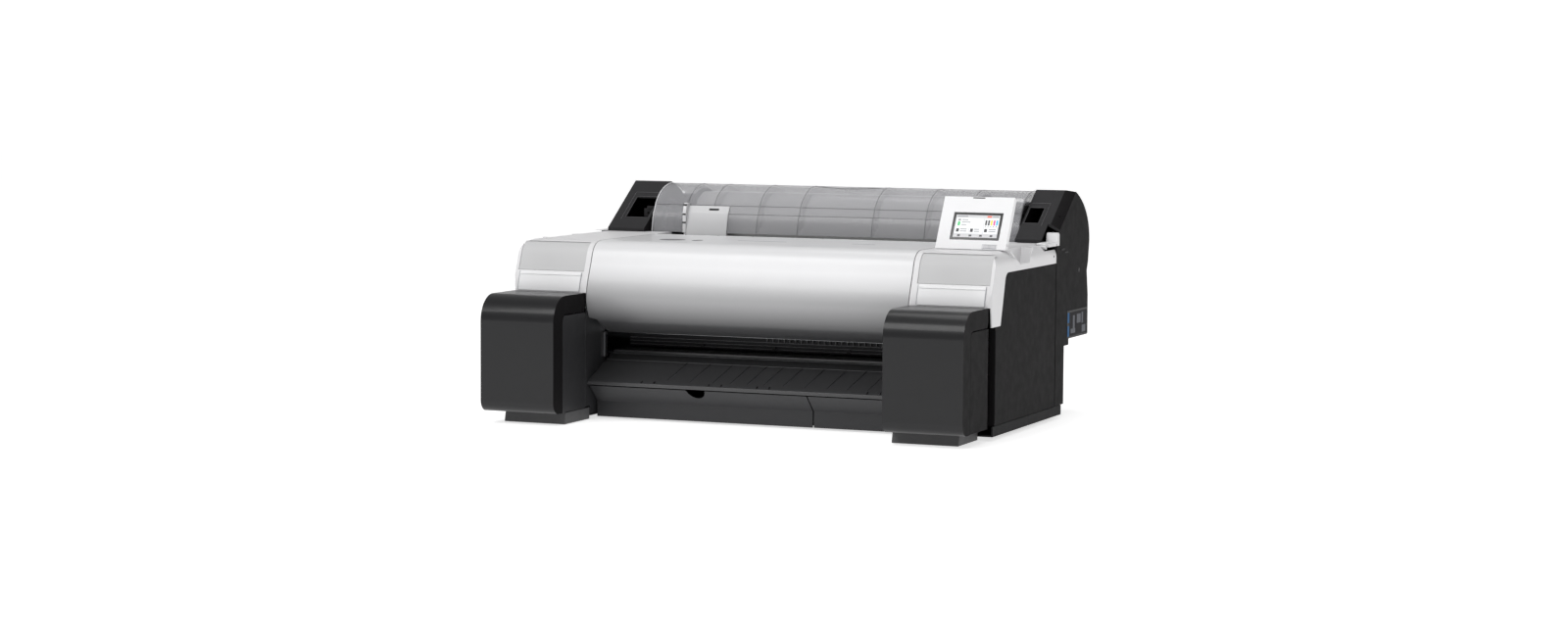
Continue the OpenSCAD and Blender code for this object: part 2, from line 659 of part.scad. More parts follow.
base_pan();
feet();
left_side_panel();
right_side_panel();
left_end_shell();
right_end_shell();
end_inset_panels();
end_lower_panels();
left_roll_housing();
right_roll_housing();
rear_cover();
rear_lower_panel();
left_ink_bay();
right_ink_bay();
hinge_pins();
frame_plates();
inner_walls();
output_guide();
lower_front_panel();
platen();
pinch_roller_holder();
carriage_rail();
carriage_belt();
drive_motors();
cutter_rail();
capping_station();
maintenance_cartridge();
main_board();
power_supply();
power_inlet();
roll_tray();
cover_bridge();
ink_tank_matte_black();
ink_tank_black();
ink_tank_yellow();
ink_tank_magenta();
ink_tank_cyan();
top_cover();
roll_cover();
left_ink_cover();
right_ink_cover();
panel_housing();
touch_screen();
power_button();
release_lever();
accessory_drawer();
carriage();
print_head();
cutter();
cutter_blade();
feed_roller();
pinch_rollers();
feed_pinion();
roll_holder();
paper_roll();
roll_pinion();
drive_pulley();
idler_pulley();
width_guide();
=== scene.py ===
"""Looks for the large format plotter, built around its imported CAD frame. Metres, +Z up, front faces -Y."""
import json
import math

import bmesh
import bpy
from mathutils import Matrix, Vector

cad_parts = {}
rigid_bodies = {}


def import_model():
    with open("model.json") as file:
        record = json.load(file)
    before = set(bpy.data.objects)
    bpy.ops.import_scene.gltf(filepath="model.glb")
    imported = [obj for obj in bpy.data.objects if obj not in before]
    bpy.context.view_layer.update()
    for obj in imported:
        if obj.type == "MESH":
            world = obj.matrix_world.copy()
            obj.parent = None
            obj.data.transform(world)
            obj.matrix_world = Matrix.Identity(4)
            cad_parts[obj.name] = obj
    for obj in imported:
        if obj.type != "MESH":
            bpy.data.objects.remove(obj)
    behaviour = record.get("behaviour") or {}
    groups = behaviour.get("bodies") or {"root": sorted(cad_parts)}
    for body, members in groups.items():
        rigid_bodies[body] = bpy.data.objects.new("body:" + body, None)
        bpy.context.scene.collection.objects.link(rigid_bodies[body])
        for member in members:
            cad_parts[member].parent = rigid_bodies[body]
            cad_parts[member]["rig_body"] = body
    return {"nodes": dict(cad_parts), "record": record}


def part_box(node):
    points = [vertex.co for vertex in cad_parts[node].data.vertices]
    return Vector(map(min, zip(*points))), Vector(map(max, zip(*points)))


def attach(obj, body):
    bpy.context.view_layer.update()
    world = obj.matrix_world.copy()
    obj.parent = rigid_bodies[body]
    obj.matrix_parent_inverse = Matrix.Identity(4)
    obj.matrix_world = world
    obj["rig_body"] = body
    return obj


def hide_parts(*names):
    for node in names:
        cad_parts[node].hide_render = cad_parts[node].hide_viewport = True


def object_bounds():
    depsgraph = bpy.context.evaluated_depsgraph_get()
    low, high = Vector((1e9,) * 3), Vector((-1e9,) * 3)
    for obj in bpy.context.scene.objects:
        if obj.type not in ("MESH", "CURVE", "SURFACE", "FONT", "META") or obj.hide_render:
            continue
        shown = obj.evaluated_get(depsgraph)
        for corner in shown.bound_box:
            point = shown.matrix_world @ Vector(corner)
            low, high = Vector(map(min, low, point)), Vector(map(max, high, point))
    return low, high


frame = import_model()
cad_low, cad_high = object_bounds()

MM = 0.001
FRONT = cad_low.y
HALF_W = cad_high.x / MM
ROOF_Z = 346
EDGE_R = 26                        # radius of the outer top edges of the white end shells
COVER_EDGE = 331                   # from the middle of the top cover to each end
PANEL_LEAN = math.radians(29.8)
PANEL_FOOT = (250, ROOF_Z)         # front edge of the control panel: y, z
SLANT_FOOT, SLANT_TOP = (517, 353), (650, 445)    # slanted face of the roll housings: y, z
# Faces looking sideways may take a darker material: painted shade on the sides of the roll housings and ink
# covers.
SIDE_FACING = 0.4                  # a face whose normal leans further left or right looks sideways
BEVEL_ANGLE = math.radians(30)     # edges sharper than this are rounded
BEVEL_STEPS = 3


# ---- places and outlines, in millimetres counted from the front ----
def at(x, y, z):
    """A point given in millimetres, with y counted from the front of the ink covers."""
    return Vector((x * MM, FRONT + y * MM, z * MM))


def arc(c, r, a0, a1, n):
    """Points round a circle between two angles in degrees."""
    steps = [math.radians(a0 + (a1 - a0) * i / n) for i in range(n + 1)]
    return [(c[0] + r * math.cos(a), c[1] + r * math.sin(a)) for a in steps]


def curve(a, b, c, d, n=12):
    """Points along a cubic curve."""
    out = []
    for i in range(n + 1):
        t = i / n
        s = 1 - t
        k = (s * s * s, 3 * s * s * t, 3 * s * t * t, t * t * t)
        out.append(tuple(sum(w * p[j] for w, p in zip(k, (a, b, c, d))) for j in (0, 1)))
    return out


def read_off(path, first):
    """The second number of a path's point, where its first number is the given one."""
    for (a0, b0), (a1, b1) in zip(path, path[1:]):
        if a0 <= first <= a1 and a1 > a0:
            return b0 + (b1 - b0) * (first - a0) / (a1 - a0)
    return path[-1][1]


def on_panel(x, v, n):
    """A point on the tilting control panel: v up its slope, n into it."""
    y = PANEL_FOOT[0] + v * math.sin(PANEL_LEAN) + n * math.cos(PANEL_LEAN)
    z = PANEL_FOOT[1] + v * math.cos(PANEL_LEAN) - n * math.sin(PANEL_LEAN)
    return at(x, y, z)


def on_side(y0, y1, z0, z1, low, high):
    """A thin box on the right side, between two heights above the side's surface."""
    return (HALF_W + low, HALF_W + high, y0, y1, z0, z1)


def on_slant(x, y):
    """A point just above the slanted front face of a roll housing."""
    lift = 0.1
    run, rise = SLANT_TOP[0] - SLANT_FOOT[0], SLANT_TOP[1] - SLANT_FOOT[1]
    length = math.hypot(run, rise)
    z = SLANT_FOOT[1] + (y - SLANT_FOOT[0]) * rise / run
    return at(x, y - lift * rise / length, z + lift * run / length)


# Profiles, as y and z: the smoked roll cover, and the front face and upper edge of the white top cover.
ROLL_COVER = ([(547, 346), (551, 366), (556, 384), (559, 387), (566, 401)]
              + curve((566, 401), (580, 425), (612, 442), (652, 442))[1:]
              + curve((652, 442), (672, 438), (688, 432), (699, 426.5), 6)[1:])
COVER_FACE = curve((138, 237), (138, 262), (155, 290), (163, 316))
COVER_BROW = curve((163, 316), (171, 340), (186, ROOF_Z), (210, ROOF_Z), 8)


# ---- camera, floor and light ----
def make_camera():
    """The camera stands where the reference view was taken from."""
    azimuth, elevation, roll = math.radians(22.4), math.radians(4.6), math.radians(0.4)
    distance = 6.1191
    target = Vector((-0.0164, -0.0005, 0.2015))
    back = Vector((math.sin(azimuth) * math.cos(elevation), -math.cos(azimuth) * math.cos(elevation),
                   math.sin(elevation)))
    right = Vector((math.cos(azimuth), math.sin(azimuth), 0))
    up = back.cross(right)
    turned_right = right * math.cos(roll) + up * math.sin(roll)
    turned_up = up * math.cos(roll) - right * math.sin(roll)
    data = bpy.data.cameras.new("camera")
    data.lens, data.sensor_width = 71.46, 36.0
    data.clip_end = 200
    camera = bpy.data.objects.new("camera", data)
    axes = Matrix((turned_right, turned_up, back)).transposed()
    camera.matrix_world = Matrix.Translation(target + back * distance) @ axes.to_4x4()
    bpy.context.scene.collection.objects.link(camera)
    bpy.context.scene.camera = camera


def make_light(name, place, aim, size, power):
    """A soft rectangular studio light."""
    data = bpy.data.lights.new(name, "AREA")
    data.shape = "RECTANGLE"
    data.size, data.size_y = size
    data.energy = power
    lamp = bpy.data.objects.new(name, data)
    lamp.location = place
    lamp.rotation_mode = "QUATERNION"
    lamp.rotation_quaternion = (Vector(aim) - Vector(place)).to_track_quat("-Z", "Y")
    bpy.context.scene.collection.objects.link(lamp)


def make_studio():
    """Pale surroundings, a white floor that runs back to a low backdrop, and two softboxes."""
    world = bpy.data.worlds.new("studio")
    world.use_nodes = True
    back = world.node_tree.nodes["Background"]
    back.inputs["Color"].default_value = (1, 1, 1, 1)
    back.inputs["Strength"].default_value = 0.38
    bpy.context.scene.world = world
    bpy.context.scene.view_settings.view_transform = "Standard"
    reach, depth, height, ground = 60000, 40000, 5000, -1
    corners = ((-reach, -reach), (reach, -reach), (reach, depth), (-reach, depth))
    floor = mesh_piece("floor", [at(x, y, ground) for x, y in corners], [(0, 1, 2, 3)])
    corners = ((-reach, ground), (reach, ground), (reach, height), (-reach, height))
    backdrop = mesh_piece("backdrop", [at(x, depth, z) for x, z in corners], [(0, 1, 2, 3)])
    pale = (0.86, 0.86, 0.86)
    floor.data.materials.append(plastic("floor_paint", pale, 0.7, grain=0.05, glow=0.76))
    backdrop.data.materials.append(plastic("backdrop_paint", pale, 0.8, grain=0.05, glow=0.9))
    make_light("key_softbox", (-1.2, -3.5, 3.6), (0, 0, 0.25), (3.0, 2.0), 100)
    make_light("top_softbox", (0.2, 0.1, 3.0), (0, 0, 0.3), (2.8, 1.6), 30)


# ---- materials ----
def plastic(name, colour, rough, *, metal=0.0, grain=0.25, grain_size=900, variation=0.05, coat=0.0,
            glow=0.0, alpha=1.0, painted_shade_ramp=None, brushed=False, specular=0.5):
    """A moulded or metal surface: faint colour variation, uneven gloss and a fine moulded grain.

    The shade ramp gives (low z, high z, colour at low z), in metres: painted shade, the surface darkens
    towards low z."""
    material = bpy.data.materials.new(name)
    material.use_nodes = True
    nodes, links = material.node_tree.nodes, material.node_tree.links
    shader = nodes["Principled BSDF"]
    coords = nodes.new("ShaderNodeTexCoord")
    mapping = nodes.new("ShaderNodeMapping")
    mapping.inputs["Scale"].default_value = (0.03, 1, 1) if brushed else (1, 1, 1)
    links.new(coords.outputs["Object"], mapping.inputs["Vector"])

    def noise(scale, detail):
        node = nodes.new("ShaderNodeTexNoise")
        node.inputs["Scale"].default_value = scale
        node.inputs["Detail"].default_value = detail
        links.new(mapping.outputs["Vector"], node.inputs["Vector"])
        return node.outputs["Fac"]

    def spread(value, low, high):
        node = nodes.new("ShaderNodeMapRange")
        node.inputs["To Min"].default_value = low
        node.inputs["To Max"].default_value = high
        links.new(value, node.inputs["Value"])
        return node.outputs["Result"]

    def mixed(factor, one, other):
        node = nodes.new("ShaderNodeMix")
        node.data_type = "RGBA"
        for socket, value in ((node.inputs["A"], one), (node.inputs["B"], other)):
            if isinstance(value, tuple):
                socket.default_value = (*value, 1)
            else:
                links.new(value, socket)
        links.new(factor, node.inputs["Factor"])
        return node.outputs["Result"]

    patchy = noise(14, 3)
    shade = mixed(patchy, tuple(c * (1 - variation) for c in colour),
                  tuple(min(1, c * (1 + variation)) for c in colour))
    # Painted shade: lower down, the colour blends towards the darker shade colour.
    if painted_shade_ramp:
        low, high, shade_colour = painted_shade_ramp
        split = nodes.new("ShaderNodeSeparateXYZ")
        links.new(coords.outputs["Object"], split.inputs["Vector"])
        climb = nodes.new("ShaderNodeMapRange")
        climb.inputs["From Min"].default_value = low
        climb.inputs["From Max"].default_value = high
        links.new(split.outputs["Z"], climb.inputs["Value"])
        shade = mixed(climb.outputs["Result"], shade_colour, shade)
    links.new(shade, shader.inputs["Base Color"])
    links.new(spread(noise(60, 4), rough * 0.85, min(1, rough * 1.15)), shader.inputs["Roughness"])
    bump = nodes.new("ShaderNodeBump")
    bump.inputs["Strength"].default_value = grain
    bump.inputs["Distance"].default_value = 0.0002
    links.new(noise(grain_size, 2), bump.inputs["Height"])
    links.new(bump.outputs["Normal"], shader.inputs["Normal"])
    shader.inputs["Metallic"].default_value = metal
    shader.inputs["Specular IOR Level"].default_value = specular
    shader.inputs["Coat Weight"].default_value = coat
    shader.inputs["Coat Roughness"].default_value = 0.12
    shader.inputs["Alpha"].default_value = alpha
    if glow:
        shader.inputs["Emission Color"].default_value = (*colour, 1)
        shader.inputs["Emission Strength"].default_value = glow
    return material


def shell_materials():
    """White and grey outer shells."""
    return {
        # The top cover darkens to near black from 0.30 m down to 0.19 m: painted shade on its lower curl.
        "cover_white": plastic("pearl_white_painted_shade", (0.70, 0.70, 0.71), 0.32, grain=0.08, variation=0.012,
                               coat=0.15, painted_shade_ramp=(0.19, 0.30, (0.045, 0.045, 0.047))),
        "shell_white": plastic("satin_white_shell", (0.71, 0.705, 0.715), 0.38, grain=0.12,
                               variation=0.015),
        "panel_white": plastic("panel_white", (0.82, 0.82, 0.83), 0.38, grain=0.1, variation=0.01),
        "lower_white": plastic("lower_panel_white", (0.81, 0.81, 0.82), 0.36, grain=0.1, variation=0.015),
        "inset_grey": plastic("textured_grey", (0.54, 0.54, 0.545), 0.5, grain=0.35, variation=0.03),
        "button_white": plastic("button_grey", (0.60, 0.60, 0.62), 0.4, grain=0.15),
        "guide_white": plastic("guide_white", (0.66, 0.66, 0.67), 0.45, grain=0.15),
    }


def dark_materials():
    """Charcoal shells, the paper exit and the feet."""
    return {
        "ink_dark": plastic("ink_cover_charcoal", (0.010, 0.010, 0.011), 0.34, grain=0.3, variation=0.08,
                            specular=0.22, coat=0.2),
        # Also laid on the sideways faces of the roll housings and ink covers, darker and duller than their
        # fronts: painted shade.
        "side_dark": plastic("side_charcoal", (0.009, 0.0085, 0.009), 0.6, grain=0.35, variation=0.1,
                             specular=0.04),
        "housing_dark": plastic("housing_charcoal", (0.032, 0.0315, 0.033), 0.55, grain=0.35,
                                variation=0.08, specular=0.06),
        "front_dark": plastic("front_charcoal", (0.025, 0.025, 0.027), 0.45, grain=0.3, variation=0.08,
                              specular=0.35),
        # Darker than the other exit parts: painted shade on the pinch roller holder deep behind the paper
        # exit.
        "inner_dark": plastic("inner_charcoal", (0.020, 0.020, 0.022), 0.5, grain=0.2, variation=0.08,
                              specular=0.2),
        "base_dark": plastic("base_paint", (0.014, 0.014, 0.015), 0.6, grain=0.4, variation=0.1,
                             specular=0.06),
        "foot_dark": plastic("foot_rubber", (0.072, 0.072, 0.074), 0.62, grain=0.5, variation=0.1),
        "guide_black": plastic("guide_black", (0.046, 0.046, 0.048), 0.34, grain=0.12, variation=0.08),
    }


def smoked_materials():
    """The see-through roll cover, its ends, its rims and its creases."""
    return {
        "cover_smoke": plastic("smoked_cover", (0.47, 0.47, 0.49), 0.16, grain=0.05, variation=0.03,
                               alpha=0.42),
        "cover_rib": plastic("smoked_rib", (0.50, 0.50, 0.52), 0.2, grain=0.05, variation=0.03, alpha=0.06),
        # A pale line along the clear cover's left rim: painted highlight. The encoder strip also takes this
        # colour.
        "cover_rim": plastic("clear_rim", (0.85, 0.85, 0.87), 0.2, grain=0.03, variation=0.02),
        "crease": plastic("cover_crease", (0.13, 0.13, 0.14), 0.3, grain=0.05, variation=0.05),
    }


def mechanism_materials():
    """Metals, rubbers and inner plastics, with the paper."""
    return {
        "steel": plastic("zinc_steel", (0.42, 0.43, 0.44), 0.32, metal=1, grain=0.2, brushed=True),
        "pin_steel": plastic("bright_steel", (0.55, 0.56, 0.57), 0.22, metal=1, grain=0.1, brushed=True),
        "motor_zinc": plastic("motor_can", (0.25, 0.26, 0.27), 0.35, metal=1, grain=0.2, brushed=True),
        "supply_zinc": plastic("supply_case", (0.42, 0.43, 0.44), 0.4, metal=1, grain=0.3),
        "rubber_black": plastic("black_rubber", (0.012, 0.012, 0.013), 0.6, grain=0.4),
        "roller_grey": plastic("gritted_roller", (0.065, 0.065, 0.07), 0.55, grain=0.8, grain_size=1800),
        "gear_natural": plastic("natural_acetal", (0.62, 0.58, 0.48), 0.38, grain=0.1),
        "carriage_black": plastic("carriage_black", (0.022, 0.022, 0.025), 0.4, grain=0.3),
        "head_grey": plastic("head_grey", (0.16, 0.165, 0.18), 0.35, grain=0.2),
        "cartridge_dark": plastic("cartridge_shell", (0.030, 0.030, 0.034), 0.5),
        "holder_grey": plastic("holder_grey", (0.050, 0.050, 0.055), 0.45),
        "board_green": plastic("solder_mask", (0.015, 0.09, 0.045), 0.35, grain=0.3, grain_size=300),
        "inlet_black": plastic("inlet_black", (0.010, 0.010, 0.011), 0.4, grain=0.2),
        "paper_white": plastic("roll_paper", (0.88, 0.88, 0.87), 0.8, grain=0.3, grain_size=1500,
                               specular=0.2),
    }


def ink_materials():
    """Ink tanks."""
    return {
        "ink_mbk": plastic("tank_matte_black", (0.020, 0.020, 0.022), 0.5, specular=0.15),
        "ink_bk": plastic("tank_black", (0.010, 0.010, 0.012), 0.28, specular=0.2),
        "ink_y": plastic("tank_yellow", (0.62, 0.42, 0.02), 0.35),
        "ink_m": plastic("tank_magenta", (0.38, 0.01, 0.11), 0.35),
        "ink_c": plastic("tank_cyan", (0.01, 0.20, 0.42), 0.35),
    }


def mark_materials():
    """Seams, recesses, painted highlights on edges and the plain side label."""
    return {
        "mark_black": plastic("mark_black", (0.006, 0.006, 0.007), 0.6, grain=0.1),
        "seam_dark": plastic("seam_shadow", (0.004, 0.004, 0.004), 0.9, grain=0.0, specular=0.1),
        "recess_grey": plastic("recess_shadow", (0.17, 0.17, 0.175), 0.5, grain=0.1),
        # Painted highlight: a lighter grey laid along edges, rib sides, creases, channels, wall strips and
        # window rims of the dark parts.
        "painted_edge_highlight": plastic("painted_edge_highlight", (0.10, 0.10, 0.105), 0.4, grain=0.1),
        "label_dark": plastic("label_film", (0.016, 0.016, 0.018), 0.6, grain=0.05, specular=0.05),
        "label_blue": plastic("label_blue", (0.04, 0.12, 0.26), 0.6, grain=0.05, specular=0.05),
        "label_grey": plastic("label_grey", (0.13, 0.135, 0.15), 0.6, grain=0.05, specular=0.05),
    }


def screen_materials():
    """The glass of the touch screen, and the colours that glow behind it."""
    made = {"screen_glass": plastic("screen_glass", (0.006, 0.006, 0.007), 0.12, grain=0.0, coat=0.5)}
    glowing = {
        "lcd_back": (0.62, 0.63, 0.65), "lcd_bar": (0.56, 0.56, 0.575), "lcd_white": (0.86, 0.87, 0.88),
        "lcd_dark": (0.03, 0.03, 0.035), "lcd_grey": (0.30, 0.31, 0.33), "lcd_red": (0.75, 0.13, 0.08),
        "lcd_green": (0.06, 0.52, 0.17), "lcd_yellow": (0.82, 0.60, 0.04),
        "lcd_magenta": (0.62, 0.03, 0.25), "lcd_cyan": (0.03, 0.42, 0.72),
    }
    # Each of these colours glows faintly, as a lit screen does. lcd_grey also stands off the screen, on the
    # end seams, roof strips, paper layer lines and the power button's sign and rim, which glow a little
    # though they are no lamps: painted light over their own grey.
    for name, colour in glowing.items():
        made[name] = plastic(name, colour, 0.25, grain=0.0, variation=0.01, glow=0.18)
    return made


def make_materials():
    """Every material of the object, by the record's slot name or by its own."""
    return {**shell_materials(), **dark_materials(), **smoked_materials(), **mechanism_materials(),
            **ink_materials(), **mark_materials(), **screen_materials()}


# ---- building pieces ----
def mesh_piece(name, points, faces):
    """A new mesh object from points in metres."""
    data = bpy.data.meshes.new(name)
    data.from_pydata([tuple(p) for p in points], [], faces)
    data.validate()
    form = bmesh.new()
    form.from_mesh(data)
    bmesh.ops.recalc_face_normals(form, faces=form.faces)
    form.to_mesh(data)
    form.free()
    piece = bpy.data.objects.new(name, data)
    bpy.context.scene.collection.objects.link(piece)
    return piece


def soften(piece, width):
    """Rounds the edges by a width in millimetres, with even shading over the flat faces."""
    for face in piece.data.polygons:
        face.use_smooth = True
    if width:
        bevel = piece.modifiers.new("rounded", "BEVEL")
        bevel.width = width * MM
        bevel.segments = BEVEL_STEPS
        bevel.limit_method = "ANGLE"
        bevel.angle_limit = BEVEL_ANGLE
        bevel.miter_outer = "MITER_ARC"
    even = piece.modifiers.new("even_shading", "WEIGHTED_NORMAL")
    even.keep_sharp = True


def finish_piece(piece, body, slot, material=None, width=0.4):
    """Gives a new piece its material, taken from its slot unless another is named, its rounding and its
    body.
    """
    piece.data.materials.clear()
    piece.data.materials.append(MATERIALS[material or slot])
    soften(piece, width)
    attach(piece, body)


def rounded_node(node, width, material=None, side=None):
    """Makes a copy of a CAD node with its edges rounded, which stands for that node.

    side names another material, for the faces that look left or right; on the roll housings and ink covers
    it is the darker side_dark, which is painted shade."""
    source = frame["nodes"][node]
    form = bmesh.new()
    form.from_mesh(source.data)
    bmesh.ops.remove_doubles(form, verts=form.verts, dist=0.00001)
    bmesh.ops.dissolve_limit(form, angle_limit=math.radians(0.6), verts=form.verts, edges=form.edges)
    data = bpy.data.meshes.new(node + "_skin")
    form.to_mesh(data)
    form.free()
    piece = bpy.data.objects.new(node + "_skin", data)
    bpy.context.scene.collection.objects.link(piece)
    slot = SLOTS[node]
    data.materials.append(MATERIALS[material or slot])
    if side:
        data.materials.append(MATERIALS[side])
        for face in data.polygons:
            face.material_index = int(abs(face.normal.x) > SIDE_FACING)
    soften(piece, width)
    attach(piece, source["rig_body"])
    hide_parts(node)


def bars(name, boxes, body, slot, material=None, width=0.3, place=at):
    """Small moulded bars as one piece. Each box is (x0, x1, y0, y1, z0, z1) in millimetres."""
    points, faces = [], []
    for x0, x1, y0, y1, z0, z1 in boxes:
        first = len(points)
        points += [place(x, y, z) for z in (z0, z1) for y in (y0, y1) for x in (x0, x1)]
        faces += [tuple(first + i for i in f) for f in
                  ((0, 2, 3, 1), (4, 5, 7, 6), (0, 1, 5, 4), (2, 6, 7, 3), (0, 4, 6, 2), (1, 3, 7, 5))]
    finish_piece(mesh_piece(name, points, faces), body, slot, material, width)


def panel_bars(name, boxes, material, slot="screen_glass", width=0.0):
    """Thin plates on the control panel. Each box is (x0, x1, v0, v1, n0, n1) in millimetres."""
    bars(name, boxes, "control_panel", slot, material, width, place=on_panel)


def prism(name, outline, low, high, body, slot, material=None, width=0.4, along="x"):
    """An outline carried along x, y or z. Its points give the other two, in alphabetical order."""
    order = {"x": "yzx", "y": "xzy", "z": "xyz"}[along]
    points = [at(**dict(zip(order, (*point, end)))) for end in (low, high) for point in outline]
    n = len(outline)
    faces = [tuple(range(n)), tuple(range(2 * n - 1, n - 1, -1))]
    faces += [(i, n + i, n + (i + 1) % n, (i + 1) % n) for i in range(n)]
    finish_piece(mesh_piece(name, points, faces), body, slot, material, width)


def tube(name, paths, radius, body, slot, material=None, closed=False):
    """Thin round lines through points given in metres."""
    data = bpy.data.curves.new(name, "CURVE")
    data.dimensions = "3D"
    data.bevel_depth = radius * MM
    data.bevel_resolution = 2
    for path in paths:
        line = data.splines.new("POLY")
        line.points.add(len(path) - 1)
        for point, p in zip(line.points, path):
            point.co = (*p, 1)
        line.use_cyclic_u = closed
    piece = bpy.data.objects.new(name, data)
    bpy.context.scene.collection.objects.link(piece)
    data.materials.append(MATERIALS[material or slot])
    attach(piece, body)


def discs(name, centres, radius, length, axis, body, slot, material=None, width=0.2, sides=28):
    """Round heads whose flat faces look along an axis. Centres are points in metres."""
    points, faces = [], []
    along = Vector(axis).normalized()
    across = along.orthogonal().normalized()
    other = along.cross(across)
    for centre in centres:
        first = len(points)
        for end in (-0.5, 0.5):
            for i in range(sides):
                a = 2 * math.pi * i / sides
                points.append(Vector(centre) + along * end * length * MM
                              + (across * math.cos(a) + other * math.sin(a)) * radius * MM)
        low = [first + i for i in range(sides)]
        high = [first + sides + i for i in range(sides)]
        faces += [tuple(reversed(low)), tuple(high)]
        faces += [(low[i], low[(i + 1) % sides], high[(i + 1) % sides], high[i]) for i in range(sides)]
    finish_piece(mesh_piece(name, points, faces), body, slot, material, width)


# ---- the object's own surfaces ----
def dress_nodes():
    """Rounds every node that shows, and gives the others their materials."""
    edge_widths = {
        "top_cover": 0.8, "left_end_shell": 0.9, "right_end_shell": 0.9, "end_inset_panels": 0.5,
        "end_lower_panels": 0.7, "left_ink_cover": 1.6, "right_ink_cover": 1.6, "left_ink_bay": 0.8,
        "right_ink_bay": 0.8, "left_side_panel": 0.7, "right_side_panel": 0.7, "left_roll_housing": 1.3,
        "right_roll_housing": 1.3, "rear_cover": 1.0, "rear_lower_panel": 0.8, "feet": 1.5, "base_pan": 0.6,
        "inner_walls": 0.5, "output_guide": 0.7, "lower_front_panel": 0.8, "accessory_drawer": 0.8,
        "panel_housing": 1.6, "touch_screen": 0.4, "power_button": 0.8, "release_lever": 1.6,
        "roll_cover": 0.5, "width_guide": 0.6, "roll_tray": 0.6, "carriage": 1.2, "print_head": 0.8,
        "cutter": 0.6, "pinch_roller_holder": 0.6, "platen": 0.5, "capping_station": 0.8,
        "maintenance_cartridge": 1.5, "roll_holder": 0.6, "cover_bridge": 0.6, "power_inlet": 0.5,
        "power_supply": 0.8, "frame_plates": 0.4, "ink_tank_matte_black": 1.5, "ink_tank_black": 1.5,
        "ink_tank_yellow": 1.5, "ink_tank_magenta": 1.5, "ink_tank_cyan": 1.5,
    }
    # The pinch roller holder takes the darker inner_dark: painted shade deep in the paper exit.
    own_material = {
        "panel_housing": "panel_white", "end_lower_panels": "lower_white", "accessory_drawer": "front_dark",
        "lower_front_panel": "front_dark", "inner_walls": "front_dark", "left_ink_bay": "front_dark",
        "pinch_roller_holder": "inner_dark",
    }
    # Painted shade: the faces that look left or right on the roll housings and ink covers take side_dark;
    # the roll cover's take its clear rib material.
    side_material = {
        "left_roll_housing": "side_dark", "right_roll_housing": "side_dark", "left_ink_cover": "side_dark",
        "right_ink_cover": "side_dark", "roll_cover": "cover_rib",
    }
    for node, source in frame["nodes"].items():
        if node in edge_widths:
            rounded_node(node, edge_widths[node], own_material.get(node), side_material.get(node))
        else:
            source.data.materials.clear()
            source.data.materials.append(MATERIALS[SLOTS[node]])


def screen_picture():
    """What the touch screen shows: bars, boxes and signs, with no lettering."""
    x0, x1, v0, v1 = 372.4, 459.2, 26.4, 73.6
    back, box, sign = (0.28, 0.42), (0.2, 0.42), (0.16, 0.22)    # depths of the three layers

    def share(a, b, c, d, layer=sign):
        """A rectangle given as shares of the display's width and height."""
        return (x0 + a * (x1 - x0), x0 + b * (x1 - x0), v0 + c * (v1 - v0), v0 + d * (v1 - v0), *layer)

    panel_bars("screen_back", [share(0, 1, 0, 1, back)], "lcd_back")
    panel_bars("screen_bars", [share(0, 1, 0.88, 1, box), share(0, 1, 0, 0.15, box)], "lcd_bar")
    boxes = [share(a, b, 0.47, 0.86, box) for a, b in ((0.03, 0.64), (0.66, 0.99))]
    boxes += [share(a, b, 0.18, 0.45, box) for a, b in ((0.03, 0.33), (0.35, 0.65), (0.67, 0.99))]
    panel_bars("screen_boxes", boxes, "lcd_white")
    lines = [share(0.15, 0.15 + w, c, c + 0.045) for w, c in ((0.14, 0.76), (0.2, 0.65), (0.11, 0.54))]
    lines += [share(a, a + w, c, c + 0.045)
              for a, w in ((0.14, 0.15), (0.46, 0.12), (0.79, 0.16)) for c in (0.25, 0.34)]
    lines += [share(0.03, 0.27, 0.91, 0.96), share(0.83, 0.97, 0.91, 0.96)]
    panel_bars("screen_lines", lines, "lcd_grey")
    panel_bars("screen_tag", [share(0.71, 0.81, 0.895, 0.975)], "lcd_red")
    panel_bars("screen_ready_sign", [share(0.06, 0.115, 0.52, 0.70)], "lcd_green")
    panel_bars("screen_roll_sign", [share(0.06, 0.12, 0.73, 0.82)], "lcd_grey")
    inks = ("lcd_dark", "lcd_dark", "lcd_yellow", "lcd_magenta", "lcd_cyan")
    level_places = [0.685 + i * 0.062 for i in range(len(inks))]
    for i, (a, ink) in enumerate(zip(level_places, inks)):
        panel_bars(f"screen_ink_level_{i + 1}", [share(a, a + 0.04, 0.55, 0.78)], ink)
    signs = [share(a + 0.02, a + 0.085, 0.24, 0.39) for a in (0.03, 0.35, 0.67)]
    signs += [share(a, a + 0.06, 0.04, 0.12) for a in (0.10, 0.36, 0.6, 0.84)]
    signs += [share(a, a + 0.025, 0.49, 0.52) for a in level_places]
    panel_bars("screen_signs", signs, "lcd_dark")


def panel_details():
    """Status light, and the power button's rim and ring."""
    panel_bars("status_light", [(398.6, 422.7, 108.6, 110.8, -0.25, 0.5)], "mark_black", slot="cover_white",
               width=0.2)
    ring = [on_panel(x, v, -0.75) for x, v in arc((448.5, 7.5), 2.0, 0, 345, 23)]
    tube("power_sign", [ring], 0.22, "power_button", "button_white", "lcd_grey", closed=True)
    corners = [(434.4, 3.2), (462.6, 3.2), (462.6, 11.8), (434.4, 11.8)]
    tube("power_button_rim", [[on_panel(x, v, -0.02) for x, v in corners]], 0.36, "control_panel",
         "cover_white", "lcd_grey", closed=True)


